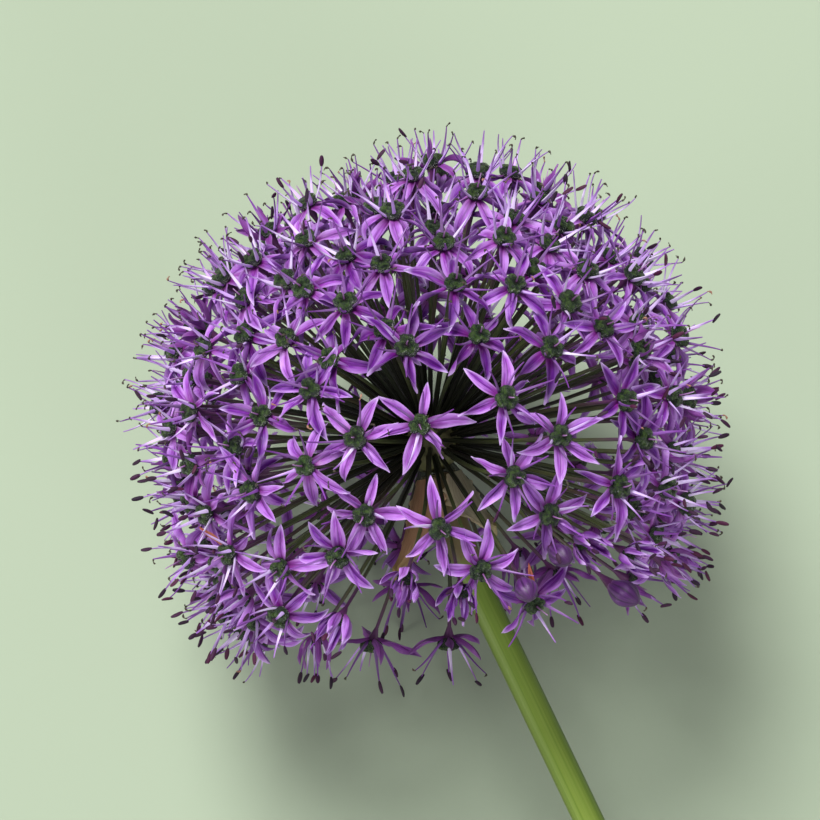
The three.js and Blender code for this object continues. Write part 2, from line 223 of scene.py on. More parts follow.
def cross_directions(along, turn):
    """Two directions square to the given one, turned round it by the angle."""
    helper = np.array([0.0, 0.0, 1.0] if abs(along[2]) < 0.9 else [0.0, 1.0, 0.0])
    first = unit(np.cross(helper, along))
    side = first * math.cos(turn) + np.cross(along, first) * math.sin(turn)
    return side, np.cross(along, side)


def spread_out(chosen, candidates, count):
    """Each new place is the candidate that is furthest from all the places chosen before it."""
    chosen = list(chosen)
    closeness = (candidates @ np.array(chosen).T).max(axis=1)
    while len(chosen) < count:
        following = candidates[np.argmin(closeness)]
        chosen.append(following)
        closeness = np.maximum(closeness, candidates @ following)
    return chosen


def front_direction(across, up, larger=FRONT_LOOKS_LARGER, near=1):
    x = across * MM / larger
    y = up * MM / larger
    return unit(seen(x, y, near * math.sqrt(HEAD_RADIUS**2 - x**2 - y**2)))


def bulge(direction):
    """How much further out than a true ball the head reaches in a direction."""
    scale = 1
    for degrees, share in BULGES:
        towards = seen(math.cos(degrees * DEGREE), math.sin(degrees * DEGREE), 0)
        away = math.acos(min(1, np.dot(direction, towards)))
        scale += share * math.exp(-((away / BULGE_SPREAD) ** 2))
    return scale


class Floret:
    """Where one floret stands, the way it faces, how far it is open and how old it is."""

    def __init__(self, index, direction):
        self.index = index
        self.direction = direction
        self.polar = math.acos(np.dot(direction, CROWN_AXIS))
        half_open = self.polar > HALF_OPEN_POLAR and self.happens(HALF_OPEN_CHANCE, 1)
        if index < len(FRONT_FLORETS):
            half_open = index in FRONT_HALF_OPEN
        self.openness = BUD if index in FRONT_BUDS else HALF_OPEN if half_open else OPEN
        self.hangs = False
        nod = [self.stray(FACING_SPREAD, stream) for stream in (2, 3, 4)]
        self.facing = unit(direction + np.array(nod))
        self.side, self.other = cross_directions(self.facing, self.draw(0, math.pi, 5))
        if index < len(FRONT_SPINS):
            spin = FRONT_SPINS[index] * DEGREE
            pointing = seen(math.cos(spin), math.sin(spin), 0)
            self.side = unit(pointing - self.facing * np.dot(pointing, self.facing))
            self.other = np.cross(self.facing, self.side)
        reach = HEAD_RADIUS + self.stray(HEAD_RADIUS_SPREAD, 0)
        self.set_back = index >= OUTER_FLORETS
        if self.set_back:
            reach = HEAD_RADIUS * self.draw(*SET_BACK, 0)
        self.place = HEAD_CENTRE + direction * reach * bulge(direction)
        self.reflex = self.draw(0, 1, 6)
        self.in_front = float(step_up(np.dot(direction, FRONT), *IN_FRONT))
        self.youth = float(step_up(self.polar / DEGREE, *YOUTH_ANGLES))
        self.youth = self.youth * (1 - FRONT_IS_OLDER * self.in_front)
        if self.openness < OPEN:
            self.youth = 1
        self.shrivelled = index >= len(FRONT_FLORETS) and self.happens(SHRIVELLED_CHANCE, 280)
        near_rim = self.in_front < NEAR_RIM
        lighter = index < len(FRONT_SPINS) or near_rim
        self.tone = int(self.draw(DEEP_AND_SHADE_TONE + 1 if lighter else DEEP_AND_SHADE_TONE, SHRIVELLED_AND_SHADE_TONE, 281))
        # Painted shade: the deep tone on the listed front florets and on set-back florets away from the
        # rim.
        if index in SHADED_FRONT or self.set_back and not near_rim:
            self.tone = DEEP_AND_SHADE_TONE
        if self.shrivelled:
            self.tone = SHRIVELLED_AND_SHADE_TONE

    def hang(self, openness):
        """Turns a floret at the back of the rim so that it faces down and is young, and gives it the dark
        shrivelled tone as painted shade.
        """
        self.facing = unit(self.direction * 0.25 + seen(self.stray(0.12, 282), -0.9, 0.05))
        self.side, self.other = cross_directions(self.facing, self.draw(0, math.pi, 283))
        self.place = HEAD_CENTRE + self.direction * HEAD_RADIUS
        self.openness = openness
        self.hangs = True
        self.youth = 1
        self.shrivelled = False
        # Painted shade: the dark shrivelled tone.
        self.tone = SHRIVELLED_AND_SHADE_TONE
        return self

    def draw(self, low, high, stream):
        return draw(low, high, self.index, stream)

    def stray(self, most, stream):
        return self.draw(-most, most, stream)

    def happens(self, chance, stream):
        return self.draw(0, 1, stream) < chance

    def outward(self, angle):
        """The direction square to the way that the floret faces, at an angle round it."""
        angle = np.asarray(angle)[..., None]
        return self.side * np.cos(angle) + self.other * np.sin(angle)

    def rings(self, height, radius, angle):
        """Rings round the axis of the floret, each point at its own height and radius."""
        return (self.place + self.facing * height[..., None]
                + self.outward(angle)[None] * radius[..., None])

    def variant(self, stream):
        """A tile of the colour sheet, by its number."""
        return int(self.draw(0, TILES * TILES, stream))


def grow_florets():
    """Places the florets of the front, then the rest of the ball, then the ones that hang."""
    side, other = cross_directions(CROWN_AXIS, 0)
    number = np.arange(CANDIDATE_PLACES)
    height = mix(1, math.cos(RIM_POLAR), (number + 0.5) / CANDIDATE_PLACES)
    reach = np.sqrt(1 - height**2)
    turn = number * GOLDEN_ANGLE
    candidates = (CROWN_AXIS * height[:, None] + side * (reach * np.cos(turn))[:, None]
                  + other * (reach * np.sin(turn))[:, None])
    candidates = candidates[candidates @ FRONT < math.cos(FRONT_ZONE)]
    front = [front_direction(*place) for place in FRONT_FLORETS]
    directions = spread_out(front, candidates, FLORETS_GROWN)
    hanging = [front_direction(across, up, 1, -1) for across, up, _ in HANGING_FLORETS]
    florets = []
    for index, direction in enumerate(directions):
        floret = Floret(index, direction)
        low_inside = floret.set_back and floret.polar > SET_BACK_TO_POLAR
        bare_back = np.dot(direction, FRONT) < BACK_SIDE and floret.happens(BACK_SIDE_BARE, 284)
        crowded = max(np.dot(direction, other) for other in hanging) > HANGING_CLEAR
        if not (low_inside or bare_back or crowded):
            florets.append(floret)
    for number, direction in enumerate(hanging):
        openness = HANGING_FLORETS[number][2]
        florets.append(Floret(FLORETS_GROWN + number, direction).hang(openness))
    return florets


class Skin:
    """Closed bodies gathered into one mesh. Each is rows of closed rings, closed at both ends."""

    def __init__(self):
        self.points = []
        self.faces = []
        self.sheet = []
        self.count = 0

    def add(self, rings, along, tiles, across=None):
        """Skins rows of rings. along, for each ring, and across, for each point of a ring, run from
        0 to 1 in a tile of the colour sheet. Unless it is given, across runs there and back round
        the ring. tiles gives the tile of each face round the ring, or one for all."""
        rows, columns = rings.shape[:2]
        if across is None:
            across = there_and_back(columns)
        column = np.arange(columns)
        following = (column + 1) % columns
        start = (np.arange(rows - 1) * columns)[:, None]
        middle = rows * columns
        tiles = np.broadcast_to(tiles, columns)
        near_row = along[:-1, None]
        far_row = along[1:, None]

        def joined(corners):
            return np.stack(np.broadcast_arrays(*corners), axis=-1)

        def put(corners, places_across, places_along):
            self.faces.extend((joined(corners).reshape(-1, len(corners)) + self.count).tolist())
            inside = np.broadcast_arrays(joined(places_across), joined(places_along))
            inside = mix(TILE_MARGIN, 1 - TILE_MARGIN, np.stack(inside, axis=-1))
            tile_corner = np.stack([tiles % TILES, tiles // TILES], axis=-1)[:, None]
            self.sheet.append(((inside + tile_corner) / TILES).reshape(-1, 2))

        put([start + column, start + following, start + following + columns, start + column + columns],
            [across[corner] for corner in (column, following, following, column)],
            [near_row, near_row, far_row, far_row])
        for ring, centre, first, second, place in (
                (0, middle, following, column, along[0]),
                (middle - columns, middle + 1, column, following, along[-1])):
            put([ring + first, ring + second, centre], [across[first], across[second], 0.5], [place] * 3)
        self.points.append(rings.reshape(-1, 3))
        self.points.append(np.array([rings[0].mean(axis=0), rings[-1].mean(axis=0)]))
        self.count += middle + 2

    def make(self, name, finish, sharp=60 * DEGREE):
        mesh = bpy.data.meshes.new(name)
        mesh.from_pydata(np.concatenate(self.points).tolist(), [], self.faces)
        layer = mesh.uv_layers.new(name=SHEET)
        layer.data.foreach_set("uv", np.concatenate(self.sheet).ravel())
        mesh.polygons.foreach_set("use_smooth", np.ones(len(mesh.polygons), dtype=bool))
        mesh.set_sharp_from_angle(angle=sharp)
        mesh.materials.append(finish)
        return put_in_scene(name, mesh)


def put_in_scene(name, data):
    thing = bpy.data.objects.new(name, data)
    bpy.context.scene.collection.objects.link(thing)
    return thing


def tube(centres, side, other, wide, thick, sides):
    """Rings round a line, wide along side and thick along other."""
    angle = angles_round(sides)
    return (centres[:, None] + side[:, None] * np.outer(wide, np.cos(angle))[..., None]
            + other[:, None] * np.outer(thick, np.sin(angle))[..., None])


def there_and_back(sides):
    """Across the colour sheet and back, once round a tube."""
    return np.abs(1 - 2 * np.arange(sides) / sides)


def walk(start, headings, length):
    """The places of a line that leaves start and follows the headings, one place for each."""
    steps = (headings[1:] + headings[:-1]) / 2 * (length / (len(headings) - 1))
    return start + np.concatenate([np.zeros((1, 3)), np.cumsum(steps, axis=0)])


def leaning_line(floret, start, angles, leans, length):
    """A line that grows from start, and at each station its two cross directions."""
    outward = floret.outward(angles)
    sideways = floret.outward(angles + math.pi / 2)
    sine = np.sin(leans)[:, None]
    cosine = np.cos(leans)[:, None]
    along = outward * sine + floret.facing * cosine
    above = floret.facing * sine - outward * cosine
    return walk(start, along, length), sideways, above


def blade_width(blade, share):
    """How wide a tepal or a bract is along its length, as a share of its greatest width."""
    broadest = blade.broadest
    rising = mix(blade.base_share, 1, np.sin(np.clip(share / broadest, 0, 1) * TURN / 4))
    left = np.clip((share - broadest) / (1 - broadest), 0, 1)
    falling = mix(blade.tip_share, 1, np.cos(left * TURN / 4) ** blade.fullness)
    return np.where(share < broadest, rising, falling)


def tepal_leans(floret, k, share):
    """How far a tepal leans from the floret's axis, along its length."""
    stream = 10 + k * 4
    if floret.openness < OPEN:
        foot = 72 * DEGREE + floret.stray(0.2, stream)
        tip = -12 * DEGREE + floret.stray(0.3, stream + 1)
        return foot + (tip - foot) * share**0.62
    if floret.hangs:
        foot = 88 * DEGREE + floret.stray(0.25, stream)
        return foot + (floret.draw(20, 105, stream + 1) * DEGREE - foot) * share**1.4
    if floret.shrivelled:
        foot = floret.draw(30, 80, stream) * DEGREE
        return foot + floret.draw(-1.6, 2.6, stream + 1) * share
    crown_droop = TEPAL.crown_droop * (1 - float(step_up(floret.polar / DEGREE, 25, 85)))
    reflex = mix(floret.reflex, 1, 0.55 * (1 - floret.in_front))
    foot = mix(66, 98, reflex) * DEGREE + crown_droop * 0.6 + floret.stray(0.25, stream)
    tip = mix(94, 156, reflex) * DEGREE + crown_droop + floret.stray(0.6, stream + 1)
    wobble = floret.stray(0.22, 104 + k) * np.sin(TURN * share + floret.draw(0, 2, 108 + k))
    return foot + (tip - foot) * share**1.5 + wobble * share


def add_tepal(skin, floret, k):
    """A pointed blade, folded along its middle, that curls, sways and twists."""
    share = np.linspace(0, 1, TEPAL.stations) ** 0.92
    inner = k % 2
    size = (TEPAL.inner_share if inner else 1) * floret.draw(0.84, 1.08, 60 + k)
    if floret.shrivelled:
        size = size * TEPAL.shrivelled_share
    if floret.openness < OPEN:
        size = size * TEPAL.bell_share
    length = TEPAL.length * size
    azimuth = k * SIXTH_TURN + floret.stray(0.16, 65 + k)
    angles = azimuth + floret.stray(0.6, 70 + k) * share**1.8
    sunk = (0.1 if inner else 0.3) * MM
    start = floret.place + floret.outward(azimuth) * TEPAL.foot - floret.facing * sunk
    centres, sideways, above = leaning_line(floret, start, angles, tepal_leans(floret, k, share), length)
    withered = WITHERED.get(floret.index) == k or floret.happens(WITHERED_CHANCE, 290 + k)
    turn_over = mix(0.5, 2.4, floret.draw(0, 1, 76 + k) ** 3)
    if floret.stray(1, 80 + k) < 0:
        turn_over = -turn_over
    if floret.shrivelled:
        turn_over = turn_over * 2
    twist = (floret.stray(0.4, 12 + k * 4) + turn_over * share**1.8)[:, None]
    across = sideways * np.cos(twist) + above * np.sin(twist)
    normal = above * np.cos(twist) - sideways * np.sin(twist)

    half = TEPAL.width / 2 * size * floret.draw(0.88, 1.1, 88 + k) * blade_width(TEPAL, share)
    if withered:
        half = half * TEPAL.withered_width
    elif floret.hangs:
        half = half * TEPAL.hanging_width
    cup = floret.draw(0.05, 0.85, 90 + k) + 0.3 * share**3
    thick = TEPAL.thickness / 2 * (1.6 - share)
    wave = floret.draw(0.05, 0.24, 100 + k) * MM
    phase = floret.draw(0, TURN, 110 + k)

    def face(u, side_up):
        """The line along the blade at u across it, from -1 to 1, on its upper or under side."""
        rise = cup * half * (abs(u) ** 1.4 - 0.4) - 0.09 * MM * math.exp(-((u / 0.25) ** 2))
        ripple = wave * u * np.sin(1.7 * TURN * share + phase + 1.5 * u)
        return (centres + across * (half * u)[:, None]
                + normal * (rise + ripple + side_up * thick * (1 - u * u))[:, None])

    steps = np.linspace(-1, 1, TEPAL.columns)
    under = steps[-2:0:-1]
    rings = np.stack([face(u, 1) for u in steps[::-1]] + [face(u, -1) for u in under[::-1]], axis=1)
    sheet_across = (np.concatenate([steps[::-1], under[::-1]]) + 1) / 2
    upper_face = np.arange(len(sheet_across)) < len(steps) - 1
    tile = WITHERED_TILE if withered else floret.tone * TILES + int(floret.draw(0, TILES - 1, 120 + k))
    skin.add(rings, share, np.where(upper_face, tile, tile + HALF_THE_TILES), sheet_across)


def filament_line(floret, k):
    """The line that a filament follows and an anther ends, with the share of its length."""
    share = np.linspace(0, 1, FILAMENT.stations)
    lean = (floret.draw(16, 46, 130 + k) + 12 * floret.in_front) * DEGREE
    if floret.openness < OPEN:
        lean = floret.draw(3, 16, 130 + k) * DEGREE
    bend = floret.draw(-0.45, 0.35, 140 + k)
    leans = lean + (0.5 - 0.3 * floret.openness) * np.exp(-share * 7) + bend * share**2
    angles = k * SIXTH_TURN + floret.stray(0.25, 150 + k) * share
    start = floret.place + floret.outward(k * SIXTH_TURN) * FILAMENT.foot + floret.facing * 0.15 * MM
    length = FILAMENT.length * floret.draw(0.84, 1.08, 160 + k) * mix(0.8, 1, floret.openness)
    if floret.hangs:
        length = length * FILAMENT.hanging_share
    return share, leaning_line(floret, start, angles, leans, length)


def add_filament(skin, floret, k, line):
    """Broad at its foot and tapered to a thread. More of them are purple on the front."""
    share, (centres, sideways, above) = line
    broad = mix(0.45, 0.3, floret.in_front)
    wide = mix(broad, 0.09, share**0.75) * MM
    thick = mix(0.2, 0.08, share) * MM
    rings = tube(centres, sideways, above, wide, thick, FILAMENT.sides)
    purple = floret.happens(0.16 + 0.7 * floret.in_front + 0.6 * floret.hangs, 310 + k)
    tile = HALF_THE_TILES * purple + int(floret.draw(0, HALF_THE_TILES, 170 + k))
    skin.add(rings, share, tile)


def arc_line(start, along, towards, length, curl, stations):
    """A line of even curve, from start along one direction and turning towards another."""
    angle = np.linspace(0, curl, stations)
    headings = along * np.cos(angle)[:, None] + towards * np.sin(angle)[:, None]
    above = towards * np.cos(angle)[:, None] - along * np.sin(angle)[:, None]
    return walk(start, headings, length), above


def add_anther(skin, floret, k, line):
    """Fresh anthers, which young florets have most of, are dark and oblong and hang on at an angle.
    Spent ones are thin and curled, and many are lost."""
    centres = line[1][0]
    along = unit(centres[-1] - centres[-2])
    side, other = cross_directions(along, floret.draw(0, TURN, 180 + k))
    fresh = floret.happens(0.08 + 0.55 * floret.youth - 0.06 * floret.in_front, 190 + k)
    bare = floret.happens(0.38 + 0.24 * floret.in_front, 200 + k)
    if bare and not fresh:
        return
    share = np.linspace(0, 1, ANTHER.stations)
    if fresh:
        heading = unit(side * floret.draw(0, 1, 210 + k) ** 2 + along * 0.6)
        across = unit(np.cross(heading, other))
        length = ANTHER.length * floret.draw(0.8, 1.1, 220 + k)
        start = centres[-1] - heading * length * 0.35
        points, above = arc_line(start, heading, across, length, 0.35, ANTHER.stations)
        fat = ANTHER.radius * np.sin(math.pi * mix(0.06, 0.94, share)) ** 0.45
        wide = fat
        thick = fat * 0.72
        first_tile = 0
    else:
        points, above = arc_line(centres[-1] - along * 0.1 * MM, unit(along + side * 0.6), other,
                                 SPENT_ANTHER.length * floret.draw(0.7, 1.2, 220 + k),
                                 SPENT_ANTHER.curl * floret.draw(0.5, 1.2, 230 + k), ANTHER.stations)
        swell = 0.75 + 0.35 * np.sin(share * 9 + floret.draw(0, TURN, 240 + k))
        wide = SPENT_ANTHER.radius * swell * np.sin(math.pi * mix(0.1, 0.93, share)) ** 0.5
        thick = wide * 1.2
        first_tile = HALF_THE_TILES
    tangent = np.gradient(points, axis=0)
    rings = tube(points, unit(np.cross(unit(tangent), above)), above, wide, thick, ANTHER.sides)
    tile = first_tile + int(floret.draw(0, HALF_THE_TILES, 250 + k))
    skin.add(rings[:, ::-1], share, tile)


def add_ovary(skin, floret):
    """Three lobes with a groove between them and two knobs on the shoulder of each."""
    polar = np.linspace(0.16, 0.99, OVARY.stations) * math.pi
    angle = angles_round(OVARY.sides)
    size = floret.draw(0.92, 1.1, 7) * (0.72 if floret.openness < OPEN else 1)
    lobe = np.abs(np.sin(1.5 * angle))
    groove = 1 - 0.34 * (1 - lobe) ** 2
    knob = np.cos(6 * angle)
    round_share = np.sin(polar)[:, None] ** 0.72
    shoulder = np.exp(-(((polar / math.pi) - 0.68) / 0.14) ** 2)[:, None]
    radius = OVARY.radius * size * round_share * (groove - 0.1 * shoulder * knob * lobe)
    height = OVARY.height * size * ((1 - np.cos(polar)) / 2)[:, None]
    height = height * (1 - 0.08 * shoulder * knob * lobe)
    dimple = 0.42 * MM * size * np.exp(-((radius / (0.6 * MM)) ** 2)) * (polar > math.pi / 2)[:, None]
    height = height - dimple - 0.35 * MM
    along = np.linspace(0, 1, OVARY.stations)
    skin.add(floret.rings(height, radius, angle), along, floret.variant(260))


def add_style(skin, floret):
    """The short thread on top of the ovary."""
    share = np.linspace(0, 1, STYLE.stations)
    base = floret.place + floret.facing * (OVARY.height * 0.72)
    length = STYLE.length * floret.draw(0.55, 1.2, 8)
    leans = floret.draw(0, 0.25, 9) + share * floret.stray(0.4, 270)
    angles = np.full(STYLE.stations, floret.draw(0, TURN, 271))
    centres, sideways, above = leaning_line(floret, base, angles, leans, length)
    radius = STYLE.radius * (1 - 0.45 * share)
    rings = tube(centres, sideways, above, radius, radius, STYLE.sides)
    skin.add(rings, share, floret.variant(272))


def add_bud(skin, floret):
    """A closed bud: six rounded tepals shut against each other, with a seam between them."""
    share = np.linspace(0, 1, BUD_SHAPE.stations)
    angle = angles_round(BUD_SHAPE.sides)
    profile = np.sin(math.pi * mix(0.1, 0.985, share**1.15)) ** 0.72
    rib = 1 - 0.04 * np.cos(6 * angle) - 0.1 * (1 - np.abs(np.sin(3 * angle))) ** 4
    rib = mix(rib, 1, share[:, None] ** 6)
    size = floret.draw(0.82, 1, 273)
    radius = BUD_SHAPE.radius * size * profile[:, None] * rib
    height = (BUD_SHAPE.length * size * share - 0.3 * MM)[:, None]
    one_tepal = there_and_back(BUD_SHAPE.sides // 3)
    skin.add(floret.rings(height, radius, angle), share, floret.variant(274), np.tile(one_tepal, 3))


def add_pedicel(skin, floret):
    """A slim stalk that bows a little and widens into the cup that the floret sits in."""
    share = np.linspace(0, 1, PEDICEL.stations) ** 0.8
    along = unit(floret.place - HEAD_CENTRE)
    root = HEAD_CENTRE + along * (RECEPTACLE_RADIUS - PEDICEL.root_depth)
    end = floret.place + floret.facing * 0.1 * MM
    length = np.linalg.norm(end - root)
    side, other = cross_directions(along, floret.draw(0, TURN, 275))
    bow = side * floret.draw(0.2, 1, 276) * PEDICEL.bow
    turn = math.atan2(np.dot(along, UPWARD), np.dot(along, RIGHT))
    for degrees in PARTINGS:
        past = (turn - degrees * DEGREE + math.pi) % TURN - math.pi
        if abs(past) < PARTING_SPREAD:
            aside = seen(-math.sin(turn), math.cos(turn), 0) * math.copysign(PARTING_BOW, past)
            bow = aside * (1 - abs(past) / PARTING_SPREAD)
    centres = root + (end - root) * share[:, None] + bow * np.sin(math.pi * share)[:, None]
    tangent = unit(np.gradient(centres, axis=0))
    towards_cup = step_up(share, 1 - 4 * MM / length, 1)[:, None]
    tangent = unit(tangent * (1 - towards_cup) + floret.facing * towards_cup)
    across = unit(np.cross(tangent, other))
    above = np.cross(tangent, across)
    cup = step_up(share, 1 - PEDICEL.cup_depth * 1.4 / length, 1)
    radius = (PEDICEL.radius * floret.draw(0.92, 1.1, 277) * (1.1 - 0.18 * share)
              + (PEDICEL.cup_radius - PEDICEL.radius) * cup)
    rings = tube(centres, across, above, radius, radius, PEDICEL.sides)
    skin.add(rings[:, ::-1], share, floret.variant(278))


def grow_head(finishes):
    """All the florets, gathered into pieces by what they are, with the tepals in their bands."""
    skins = {"tepals_" + band: Skin() for band in TEPAL_BANDS}
    skins.update({name: Skin() for name in finishes if name != "tepals"})
    for floret in grow_florets():
        band = next(band for band, end in TEPAL_BANDS.items() if floret.polar < end)
        grow_floret(skins, skins["tepals_" + band], floret)
    return [skin.make(name, finishes[name.split("_")[0]]) for name, skin in skins.items()]


def lowest_point(floret):
    """The lowest point of a floret where it stands now."""
    trial = {name: Skin() for name in ("tepals", "filaments", "anthers", "ovaries", "styles", "buds")}
    grow_parts(trial, trial["tepals"], floret)
    return min(np.concatenate(skin.points)[:, 2].min() for skin in trial.values() if skin.points)


def grow_parts(skins, tepals, floret):
    """A bud, or six tepals with their stamens round an ovary and its style."""
    if floret.openness == BUD:
        add_bud(skins["buds"], floret)
        return
    for k in range(6):
        add_tepal(tepals, floret, k)
        line = filament_line(floret, k)
        add_filament(skins["filaments"], floret, k, line)
        add_anther(skins["anthers"], floret, k, line)
    add_ovary(skins["ovaries"], floret)
    add_style(skins["styles"], floret)


def grow_floret(skins, tepals, floret):
    """A floret that would reach through the surface is pushed up until it just touches it."""
    if floret.place[2] < LOW_FLORET:
        floret.place = floret.place + np.array([0, 0, max(0, SURFACE_CLEAR - lowest_point(floret))])
    grow_parts(skins, tepals, floret)
    add_pedicel(skins["pedicels"], floret)


def stalk_stations():
    """Where the middle of the stalk runs: places, directions and radii down to the cut end."""
    bend = HEAD_CENTRE + seen(*STALK_BEND)
    straight_from = HEAD_CENTRE + seen(*STALK_STRAIGHT_FROM)
    start = HEAD_CENTRE + unit(bend - HEAD_CENTRE) * (RECEPTACLE_RADIUS + GAP)

    def bent(share):
        share = np.asarray(share)[..., None]
        return start * (1 - share) ** 2 + bend * 2 * share * (1 - share) + straight_from * share**2

    fine = np.linspace(0, 1, STALK.samples)
    lengths = np.concatenate([[0], np.cumsum(np.linalg.norm(np.diff(bent(fine), axis=0), axis=1))])
    straight = STALK.length - lengths[-1]
    slope = math.asin(straight_from[2] / math.hypot(straight, STALK.radius)) - math.atan2(
        STALK.radius, straight)
    run = np.array([math.sin(STALK_HEADING) * math.cos(slope), -math.cos(STALK_HEADING) * math.cos(slope),
                    -math.sin(slope)])
    share = np.arange(STALK.bent_steps) / STALK.bent_steps
    at = np.interp(share * lengths[-1], lengths, fine)
    places = bent(at)
    tangents = unit((bend - start) * (1 - at)[:, None] + (straight_from - bend) * at[:, None])
    radii = STALK.radius * (1 + STALK.flare * (1 - share) ** 3)
    onward = np.linspace(0, straight, STALK.straight_steps + 1)
    places = np.concatenate([places, straight_from + run * onward[:, None]])
    tangents = np.concatenate([tangents, np.tile(run, (len(onward), 1))])
    radii = np.concatenate([radii, np.full(len(onward), STALK.radius)])
    return places, tangents, radii


def make_stalk(finish):
    """The stalk, with fine ribs along it and a clean cut whose pith is a little sunken."""
    places, tangents, radii = stalk_stations()
    level = np.array([math.cos(STALK_HEADING), math.sin(STALK_HEADING), 0])
    under = unit(np.cross(level, tangents))
    side = np.cross(tangents, under)
    angle = angles_round(STALK.sides)
    share = np.linspace(0, 1, len(places))
    rib = 1 - 0.012 * (1 + np.cos(9 * angle + 2.1)) / 2
    rib = rib - 0.008 * np.clip(np.cos(angle * 23 + 1.3), 0, 1)
    radius = radii[:, None] * rib
    rings = (places[:, None] + under[:, None] * (radius * np.cos(angle))[..., None]
             + side[:, None] * (radius * np.sin(angle))[..., None])
    end = places[-1]
    cut_rings = [end + (rings[-1] - end) * scale + tangents[-1] * depth * MM for scale, depth in CUT]
    rings = np.concatenate([rings, np.array(cut_rings)])
    along = np.concatenate([share * 0.9, 0.92 + 0.08 * np.linspace(0, 1, len(CUT))])
    # across runs from the left flank, at 0, to the right flank, at 1, so that the finish can paint shade
    # along the flanks.
    left_to_right = np.roll(there_and_back(STALK.sides), STALK.sides * 3 // 4 - 1)
    skin = Skin()
    skin.add(rings[:, ::-1], along, 0, left_to_right)
    return skin.make("stalk", finish, sharp=40 * DEGREE)


def make_bract(bract, number, finish):
    """A thin, papery blade with fine pleats, a torn tip and margins that curl."""
    _, tangents, radii = stalk_stations()
    down = tangents[0]
    right = unit(RIGHT - down * np.dot(RIGHT, down))
    near = -np.cross(right, down)
    outward = right * math.cos(bract["stands"]) + near * math.sin(bract["stands"])
    across = np.cross(down, outward)
    clear = radii[0] + GAP + BRACT.thickness
    share = np.linspace(0, 1, BRACT.stations)
    steps = np.linspace(-1, 1, BRACT.columns)
    s, u = np.meshgrid(share, steps, indexing="ij")
    half = bract["width"] / 2 * blade_width(BRACT, s)
    ragged = 1 + (0.1 * np.sin(s * 31 + number) + 0.07 * np.sin(s * 57 + 2 * number)) * np.abs(u) ** 6
    torn = 0.06 * bract["length"] * s**6 * (np.sin(u * 9 + number) + 0.6 * np.sin(u * 21 + 1))
    pleat = 0.09 * MM * np.sin(u * 26 + 1.5 * np.sin(s * 4 + number)) * step_up(s, 0.05, 0.4)
    curl = 0.5 * MM * (np.abs(u) ** 3) * np.sin(s * 7 + number * 2 + u) + 0.5 * MM * s**3 * np.sin(u * 3)
    rise = clear + bract["length"] * bract["spread"] * (s + s * s) - bract["cupped"] * half * 2 * u * u
    middle = rise - BRACT.thickness / 2 + pleat + curl * step_up(s, 0.1, 0.6)
    thin = mix(0.12, 0.045, s) * MM

    def face(sign):
        """The outer or the inner side of the blade."""
        return (HEAD_CENTRE + down * (BRACT.starts_below + bract["length"] * s + torn)[..., None]
                + across * (half * u * ragged)[..., None]
                + outward * (middle + sign * thin * (1 - u**8))[..., None])

    rings = np.concatenate([face(1), face(-1)[:, -2:0:-1]], axis=1)
    sheet_across = (np.concatenate([steps, steps[-2:0:-1]]) + 1) / 2
    skin = Skin()
    skin.add(rings, share, number * (TILES + 1), sheet_across)
    return skin.make(bract["name"].replace("spathe_", "papery_"), finish)


def make_receptacle(finish):
    """The small knobbly swelling that every pedicel grows from."""
    polar = np.linspace(0.02, 0.98, RECEPTACLE.stations) * math.pi
    angle = angles_round(RECEPTACLE.sides)
    side, other = cross_directions(CROWN_AXIS, 0)
    bumps = np.sin(9 * angle)[None] * np.sin(11 * polar)[:, None]
    radius = RECEPTACLE_RADIUS * (1 + RECEPTACLE.bumps * bumps)
    around = side * np.cos(angle)[:, None] + other * np.sin(angle)[:, None]
    rings = (HEAD_CENTRE - CROWN_AXIS * (radius * np.cos(polar)[:, None])[..., None]
             + around[None] * (radius * np.sin(polar)[:, None])[..., None])
    skin = Skin()
    skin.add(rings, np.linspace(0, 1, RECEPTACLE.stations), 0)
    return skin.make("receptacle", finish)


class Wire:
    """An output of a node that arithmetic works on. Each sum or product adds a Math node."""

    def __init__(self, finish, node, output):
        self.finish = finish
        self.node = node
        self.socket = node.outputs[output]

    def output(self, name):
        return Wire(self.finish, self.node, name)

    def maths(self, operation, *others):
        sockets = dict(enumerate((self, *others)))
        return self.finish.node("ShaderNodeMath", {"operation": operation}, sockets)

    def __add__(self, other):
        return self.maths("ADD", other)

    __radd__ = __add__

    def __sub__(self, other):
        return self.maths("SUBTRACT", other)

    def __rsub__(self, other):
        return self * -1 + other

    def __mul__(self, other):
        return self.maths("MULTIPLY", other)

    __rmul__ = __mul__

    def __abs__(self):
        return self.maths("ABSOLUTE")


